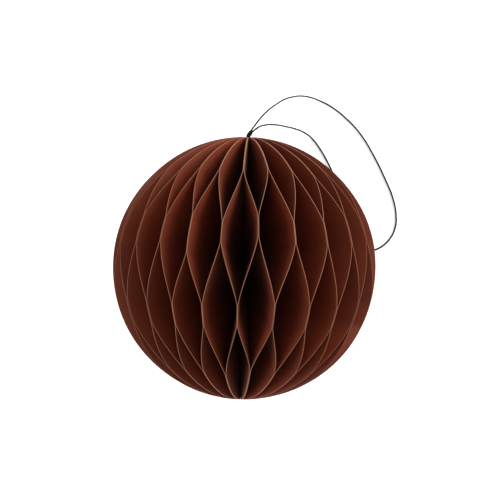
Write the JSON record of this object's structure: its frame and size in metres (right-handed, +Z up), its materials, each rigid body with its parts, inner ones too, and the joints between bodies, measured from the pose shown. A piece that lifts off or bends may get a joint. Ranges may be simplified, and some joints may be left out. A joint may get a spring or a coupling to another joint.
{
  "type": "folding honeycomb paper ball",
  "caption": "Round hanging decoration of half-round paper leaves glued in turns round a spine into lens-shaped cells, with a cord loop; it folds flat between two boards.",
  "frame": {"origin": "where the ball meets the table: on its seam, under its centre", "axes": "+Y along the spine towards the hanging loop, +Z up from the table, +X to the right when the loop points away from the viewer"},
  "size_m": [0.0922, 0.0992, 0.0849],
  "materials": {
    "leaf_paper": "uncoated dyed-through paper with a soft sheen, lighter at the cut edges",
    "cover_board": "board faced with the leaves' brown paper",
    "magnet": "nickel-plated disc magnet",
    "binding_strip": "dark brown binding paper",
    "dried_glue": "dried clear glue, slightly yellow",
    "cord": "thin waxed cord, twisted, grey-green black"
  },
  "bodies": {
    "spine": {"spine_strip": "binding_strip", "cord_plug": "dried_glue", "cord_tail": "cord", "loop_neck": "cord", "hanging_loop": "cord"},
    "cover_left": {"cover_left": "cover_board", "magnet_left_upper": "magnet", "magnet_left_lower": "magnet"},
    "cover_right": {"cover_right": "cover_board", "magnet_right_upper": "magnet", "magnet_right_lower": "magnet"},
    "leaf_01": {"leaf_01": "leaf_paper"},
    "leaf_02": {"leaf_02": "leaf_paper"},
    "leaf_03": {"leaf_03": "leaf_paper"},
    "leaf_04": {"leaf_04": "leaf_paper"},
    "leaf_05": {"leaf_05": "leaf_paper"},
    "leaf_06": {"leaf_06": "leaf_paper"},
    "leaf_07": {"leaf_07": "leaf_paper"},
    "leaf_08": {"leaf_08": "leaf_paper"},
    "leaf_09": {"leaf_09": "leaf_paper"},
    "leaf_10": {"leaf_10": "leaf_paper"},
    "leaf_11": {"leaf_11": "leaf_paper"},
    "leaf_12": {"leaf_12": "leaf_paper"},
    "leaf_13": {"leaf_13": "leaf_paper"},
    "leaf_14": {"leaf_14": "leaf_paper"},
    "leaf_15": {"leaf_15": "leaf_paper"},
    "leaf_16": {"leaf_16": "leaf_paper"},
    "leaf_17": {"leaf_17": "leaf_paper"},
    "leaf_18": {"leaf_18": "leaf_paper"},
    "leaf_19": {"leaf_19": "leaf_paper"},
    "leaf_20": {"leaf_20": "leaf_paper"},
    "leaf_21": {"leaf_21": "leaf_paper"},
    "leaf_22": {"leaf_22": "leaf_paper"},
    "leaf_23": {"leaf_23": "leaf_paper"},
    "leaf_24": {"leaf_24": "leaf_paper"},
    "leaf_25": {"leaf_25": "leaf_paper"},
    "leaf_26": {"leaf_26": "leaf_paper"},
    "leaf_27": {"leaf_27": "leaf_paper"},
    "leaf_28": {"leaf_28": "leaf_paper"},
    "leaf_29": {"leaf_29": "leaf_paper"},
    "leaf_30": {"leaf_30": "leaf_paper"},
    "leaf_31": {"leaf_31": "leaf_paper"},
    "leaf_32": {"leaf_32": "leaf_paper"},
    "leaf_33": {"leaf_33": "leaf_paper"},
    "leaf_34": {"leaf_34": "leaf_paper"},
    "leaf_35": {"leaf_35": "leaf_paper"},
    "leaf_36": {"leaf_36": "leaf_paper"},
    "leaf_37": {"leaf_37": "leaf_paper"},
    "leaf_38": {"leaf_38": "leaf_paper"},
    "leaf_39": {"leaf_39": "leaf_paper"},
    "leaf_40": {"leaf_40": "leaf_paper"},
    "leaf_41": {"leaf_41": "leaf_paper"},
    "leaf_42": {"leaf_42": "leaf_paper"},
    "leaf_43": {"leaf_43": "leaf_paper"},
    "leaf_44": {"leaf_44": "leaf_paper"}
  },
  "joints": [
    {"name": "fold_cover_left", "type": "hinge", "parent": "spine", "child": "cover_left", "pos_m": [-0.00361, 0, 0.0425], "axis": [0, 1, 0], "range_deg": [0, 180]},
    {"name": "fold_cover_right", "type": "hinge", "parent": "spine", "child": "cover_right", "pos_m": [0.00361, 0, 0.0425], "axis": [0, 1, 0], "range_deg": [-180.01, 0]},
    {"name": "fold_leaf_01", "type": "hinge", "parent": "spine", "child": "leaf_01", "pos_m": [-0.00353, 0, 0.04263], "axis": [0, 1, 0], "range_deg": [0, 175.91], "deforming": ["leaf_01"]},
    {"name": "fold_leaf_02", "type": "hinge", "parent": "spine", "child": "leaf_02", "pos_m": [-0.00336, 0, 0.04286], "axis": [0, 1, 0], "range_deg": [0, 167.73], "deforming": ["leaf_02"]},
    {"name": "fold_leaf_03", "type": "hinge", "parent": "spine", "child": "leaf_03", "pos_m": [-0.0032, 0, 0.04308], "axis": [0, 1, 0], "range_deg": [0, 159.55], "deforming": ["leaf_03"]},
    {"name": "fold_leaf_04", "type": "hinge", "parent": "spine", "child": "leaf_04", "pos_m": [-0.00304, 0, 0.04328], "axis": [0, 1, 0], "range_deg": [0, 151.37], "deforming": ["leaf_04"]},
    {"name": "fold_leaf_05", "type": "hinge", "parent": "spine", "child": "leaf_05", "pos_m": [-0.00287, 0, 0.04346], "axis": [0, 1, 0], "range_deg": [0, 143.19], "deforming": ["leaf_05"]},
    {"name": "fold_leaf_06", "type": "hinge", "parent": "spine", "child": "leaf_06", "pos_m": [-0.00271, 0, 0.04362], "axis": [0, 1, 0], "range_deg": [0, 135], "deforming": ["leaf_06"]},
    {"name": "fold_leaf_07", "type": "hinge", "parent": "spine", "child": "leaf_07", "pos_m": [-0.00254, 0, 0.04377], "axis": [0, 1, 0], "range_deg": [0, 126.82], "deforming": ["leaf_07"]},
    {"name": "fold_leaf_08", "type": "hinge", "parent": "spine", "child": "leaf_08", "pos_m": [-0.00238, 0, 0.04391], "axis": [0, 1, 0], "range_deg": [0, 118.64], "deforming": ["leaf_08"]},
    {"name": "fold_leaf_09", "type": "hinge", "parent": "spine", "child": "leaf_09", "pos_m": [-0.00222, 0, 0.04404], "axis": [0, 1, 0], "range_deg": [0, 110.46], "deforming": ["leaf_09"]},
    {"name": "fold_leaf_10", "type": "hinge", "parent": "spine", "child": "leaf_10", "pos_m": [-0.00205, 0, 0.04415], "axis": [0, 1, 0], "range_deg": [0, 102.28], "deforming": ["leaf_10"]},
    {"name": "fold_leaf_11", "type": "hinge", "parent": "spine", "child": "leaf_11", "pos_m": [-0.00189, 0, 0.04426], "axis": [0, 1, 0], "range_deg": [0, 94.1], "deforming": ["leaf_11"]},
    {"name": "fold_leaf_12", "type": "hinge", "parent": "spine", "child": "leaf_12", "pos_m": [-0.00172, 0, 0.04435], "axis": [0, 1, 0], "range_deg": [0, 85.91], "deforming": ["leaf_12"]},
    {"name": "fold_leaf_13", "type": "hinge", "parent": "spine", "child": "leaf_13", "pos_m": [-0.00156, 0, 0.04444], "axis": [0, 1, 0], "range_deg": [0, 77.73], "deforming": ["leaf_13"]},
    {"name": "fold_leaf_14", "type": "hinge", "parent": "spine", "child": "leaf_14", "pos_m": [-0.0014, 0, 0.04451], "axis": [0, 1, 0], "range_deg": [0, 69.55], "deforming": ["leaf_14"]},
    {"name": "fold_leaf_15", "type": "hinge", "parent": "spine", "child": "leaf_15", "pos_m": [-0.00123, 0, 0.04457], "axis": [0, 1, 0], "range_deg": [0, 61.37], "deforming": ["leaf_15"]},
    {"name": "fold_leaf_16", "type": "hinge", "parent": "spine", "child": "leaf_16", "pos_m": [-0.00107, 0, 0.04463], "axis": [0, 1, 0], "range_deg": [0, 53.19], "deforming": ["leaf_16"]},
    {"name": "fold_leaf_17", "type": "hinge", "parent": "spine", "child": "leaf_17", "pos_m": [-0.0009, 0, 0.04468], "axis": [0, 1, 0], "range_deg": [0, 45], "deforming": ["leaf_17"]},
    {"name": "fold_leaf_18", "type": "hinge", "parent": "spine", "child": "leaf_18", "pos_m": [-0.00074, 0, 0.04472], "axis": [0, 1, 0], "range_deg": [0, 36.82], "deforming": ["leaf_18"]},
    {"name": "fold_leaf_19", "type": "hinge", "parent": "spine", "child": "leaf_19", "pos_m": [-0.00057, 0, 0.04475], "axis": [0, 1, 0], "range_deg": [0, 28.64], "deforming": ["leaf_19"]},
    {"name": "fold_leaf_20", "type": "hinge", "parent": "spine", "child": "leaf_20", "pos_m": [-0.00041, 0, 0.04477], "axis": [0, 1, 0], "range_deg": [0, 20.46], "deforming": ["leaf_20"]},
    {"name": "fold_leaf_21", "type": "hinge", "parent": "spine", "child": "leaf_21", "pos_m": [-0.00025, 0, 0.04479], "axis": [0, 1, 0], "range_deg": [0, 12.28], "deforming": ["leaf_21"]},
    {"name": "fold_leaf_22", "type": "hinge", "parent": "spine", "child": "leaf_22", "pos_m": [-0.00009, 0, 0.0448], "axis": [0, 1, 0], "range_deg": [0, 4.1], "deforming": ["leaf_22"]},
    {"name": "fold_leaf_23", "type": "hinge", "parent": "spine", "child": "leaf_23", "pos_m": [0.00009, 0, 0.0448], "axis": [0, 1, 0], "range_deg": [-4.1, 0], "deforming": ["leaf_23"]},
    {"name": "fold_leaf_24", "type": "hinge", "parent": "spine", "child": "leaf_24", "pos_m": [0.00025, 0, 0.04479], "axis": [0, 1, 0], "range_deg": [-12.28, 0], "deforming": ["leaf_24"]},
    {"name": "fold_leaf_25", "type": "hinge", "parent": "spine", "child": "leaf_25", "pos_m": [0.00041, 0, 0.04477], "axis": [0, 1, 0], "range_deg": [-20.46, 0], "deforming": ["leaf_25"]},
    {"name": "fold_leaf_26", "type": "hinge", "parent": "spine", "child": "leaf_26", "pos_m": [0.00057, 0, 0.04475], "axis": [0, 1, 0], "range_deg": [-28.64, 0], "deforming": ["leaf_26"]},
    {"name": "fold_leaf_27", "type": "hinge", "parent": "spine", "child": "leaf_27", "pos_m": [0.00074, 0, 0.04472], "axis": [0, 1, 0], "range_deg": [-36.82, 0], "deforming": ["leaf_27"]},
    {"name": "fold_leaf_28", "type": "hinge", "parent": "spine", "child": "leaf_28", "pos_m": [0.0009, 0, 0.04468], "axis": [0, 1, 0], "range_deg": [-45, 0], "deforming": ["leaf_28"]},
    {"name": "fold_leaf_29", "type": "hinge", "parent": "spine", "child": "leaf_29", "pos_m": [0.00107, 0, 0.04463], "axis": [0, 1, 0], "range_deg": [-53.19, 0], "deforming": ["leaf_29"]},
    {"name": "fold_leaf_30", "type": "hinge", "parent": "spine", "child": "leaf_30", "pos_m": [0.00123, 0, 0.04457], "axis": [0, 1, 0], "range_deg": [-61.37, 0], "deforming": ["leaf_30"]},
    {"name": "fold_leaf_31", "type": "hinge", "parent": "spine", "child": "leaf_31", "pos_m": [0.0014, 0, 0.04451], "axis": [0, 1, 0], "range_deg": [-69.55, 0], "deforming": ["leaf_31"]},
    {"name": "fold_leaf_32", "type": "hinge", "parent": "spine", "child": "leaf_32", "pos_m": [0.00156, 0, 0.04444], "axis": [0, 1, 0], "range_deg": [-77.73, 0], "deforming": ["leaf_32"]},
    {"name": "fold_leaf_33", "type": "hinge", "parent": "spine", "child": "leaf_33", "pos_m": [0.00172, 0, 0.04435], "axis": [0, 1, 0], "range_deg": [-85.91, 0], "deforming": ["leaf_33"]},
    {"name": "fold_leaf_34", "type": "hinge", "parent": "spine", "child": "leaf_34", "pos_m": [0.00189, 0, 0.04426], "axis": [0, 1, 0], "range_deg": [-94.1, 0], "deforming": ["leaf_34"]},
    {"name": "fold_leaf_35", "type": "hinge", "parent": "spine", "child": "leaf_35", "pos_m": [0.00205, 0, 0.04415], "axis": [0, 1, 0], "range_deg": [-102.28, 0], "deforming": ["leaf_35"]},
    {"name": "fold_leaf_36", "type": "hinge", "parent": "spine", "child": "leaf_36", "pos_m": [0.00222, 0, 0.04404], "axis": [0, 1, 0], "range_deg": [-110.46, 0], "deforming": ["leaf_36"]},
    {"name": "fold_leaf_37", "type": "hinge", "parent": "spine", "child": "leaf_37", "pos_m": [0.00238, 0, 0.04391], "axis": [0, 1, 0], "range_deg": [-118.64, 0], "deforming": ["leaf_37"]},
    {"name": "fold_leaf_38", "type": "hinge", "parent": "spine", "child": "leaf_38", "pos_m": [0.00254, 0, 0.04377], "axis": [0, 1, 0], "range_deg": [-126.82, 0], "deforming": ["leaf_38"]},
    {"name": "fold_leaf_39", "type": "hinge", "parent": "spine", "child": "leaf_39", "pos_m": [0.00271, 0, 0.04362], "axis": [0, 1, 0], "range_deg": [-135.01, 0], "deforming": ["leaf_39"]},
    {"name": "fold_leaf_40", "type": "hinge", "parent": "spine", "child": "leaf_40", "pos_m": [0.00287, 0, 0.04346], "axis": [0, 1, 0], "range_deg": [-143.19, 0], "deforming": ["leaf_40"]},
    {"name": "fold_leaf_41", "type": "hinge", "parent": "spine", "child": "leaf_41", "pos_m": [0.00304, 0, 0.04328], "axis": [0, 1, 0], "range_deg": [-151.37, 0], "deforming": ["leaf_41"]},
    {"name": "fold_leaf_42", "type": "hinge", "parent": "spine", "child": "leaf_42", "pos_m": [0.0032, 0, 0.04308], "axis": [0, 1, 0], "range_deg": [-159.55, 0], "deforming": ["leaf_42"]},
    {"name": "fold_leaf_43", "type": "hinge", "parent": "spine", "child": "leaf_43", "pos_m": [0.00336, 0, 0.04286], "axis": [0, 1, 0], "range_deg": [-167.73, 0], "deforming": ["leaf_43"]},
    {"name": "fold_leaf_44", "type": "hinge", "parent": "spine", "child": "leaf_44", "pos_m": [0.00353, 0, 0.04263], "axis": [0, 1, 0], "range_deg": [-175.91, 0], "deforming": ["leaf_44"]}
  ],
  "couplings": [
    {"joint": "fold_cover_right", "follows": "fold_cover_left", "ratio": -1},
    {"joint": "fold_leaf_01", "follows": "fold_cover_left", "ratio": 0.97727},
    {"joint": "fold_leaf_02", "follows": "fold_cover_left", "ratio": 0.93182},
    {"joint": "fold_leaf_03", "follows": "fold_cover_left", "ratio": 0.88636},
    {"joint": "fold_leaf_04", "follows": "fold_cover_left", "ratio": 0.84091},
    {"joint": "fold_leaf_05", "follows": "fold_cover_left", "ratio": 0.79546},
    {"joint": "fold_leaf_06", "follows": "fold_cover_left", "ratio": 0.75},
    {"joint": "fold_leaf_07", "follows": "fold_cover_left", "ratio": 0.70454},
    {"joint": "fold_leaf_08", "follows": "fold_cover_left", "ratio": 0.65909},
    {"joint": "fold_leaf_09", "follows": "fold_cover_left", "ratio": 0.61364},
    {"joint": "fold_leaf_10", "follows": "fold_cover_left", "ratio": 0.56818},
    {"joint": "fold_leaf_11", "follows": "fold_cover_left", "ratio": 0.52273},
    {"joint": "fold_leaf_12", "follows": "fold_cover_left", "ratio": 0.47727},
    {"joint": "fold_leaf_13", "follows": "fold_cover_left", "ratio": 0.43182},
    {"joint": "fold_leaf_14", "follows": "fold_cover_left", "ratio": 0.38636},
    {"joint": "fold_leaf_15", "follows": "fold_cover_left", "ratio": 0.34091},
    {"joint": "fold_leaf_16", "follows": "fold_cover_left", "ratio": 0.29546},
    {"joint": "fold_leaf_17", "follows": "fold_cover_left", "ratio": 0.25},
    {"joint": "fold_leaf_18", "follows": "fold_cover_left", "ratio": 0.20455},
    {"joint": "fold_leaf_19", "follows": "fold_cover_left", "ratio": 0.15909},
    {"joint": "fold_leaf_20", "follows": "fold_cover_left", "ratio": 0.11364},
    {"joint": "fold_leaf_21", "follows": "fold_cover_left", "ratio": 0.068182},
    {"joint": "fold_leaf_22", "follows": "fold_cover_left", "ratio": 0.022727},
    {"joint": "fold_leaf_23", "follows": "fold_cover_left", "ratio": -0.022727},
    {"joint": "fold_leaf_24", "follows": "fold_cover_left", "ratio": -0.068182},
    {"joint": "fold_leaf_25", "follows": "fold_cover_left", "ratio": -0.11364},
    {"joint": "fold_leaf_26", "follows": "fold_cover_left", "ratio": -0.15909},
    {"joint": "fold_leaf_27", "follows": "fold_cover_left", "ratio": -0.20455},
    {"joint": "fold_leaf_28", "follows": "fold_cover_left", "ratio": -0.25},
    {"joint": "fold_leaf_29", "follows": "fold_cover_left", "ratio": -0.29546},
    {"joint": "fold_leaf_30", "follows": "fold_cover_left", "ratio": -0.34091},
    {"joint": "fold_leaf_31", "follows": "fold_cover_left", "ratio": -0.38636},
    {"joint": "fold_leaf_32", "follows": "fold_cover_left", "ratio": -0.43182},
    {"joint": "fold_leaf_33", "follows": "fold_cover_left", "ratio": -0.47727},
    {"joint": "fold_leaf_34", "follows": "fold_cover_left", "ratio": -0.52273},
    {"joint": "fold_leaf_35", "follows": "fold_cover_left", "ratio": -0.56818},
    {"joint": "fold_leaf_36", "follows": "fold_cover_left", "ratio": -0.61364},
    {"joint": "fold_leaf_37", "follows": "fold_cover_left", "ratio": -0.65909},
    {"joint": "fold_leaf_38", "follows": "fold_cover_left", "ratio": -0.70454},
    {"joint": "fold_leaf_39", "follows": "fold_cover_left", "ratio": -0.75},
    {"joint": "fold_leaf_40", "follows": "fold_cover_left", "ratio": -0.79546},
    {"joint": "fold_leaf_41", "follows": "fold_cover_left", "ratio": -0.84091},
    {"joint": "fold_leaf_42", "follows": "fold_cover_left", "ratio": -0.88636},
    {"joint": "fold_leaf_43", "follows": "fold_cover_left", "ratio": -0.93182},
    {"joint": "fold_leaf_44", "follows": "fold_cover_left", "ratio": -0.97727}
  ]
}
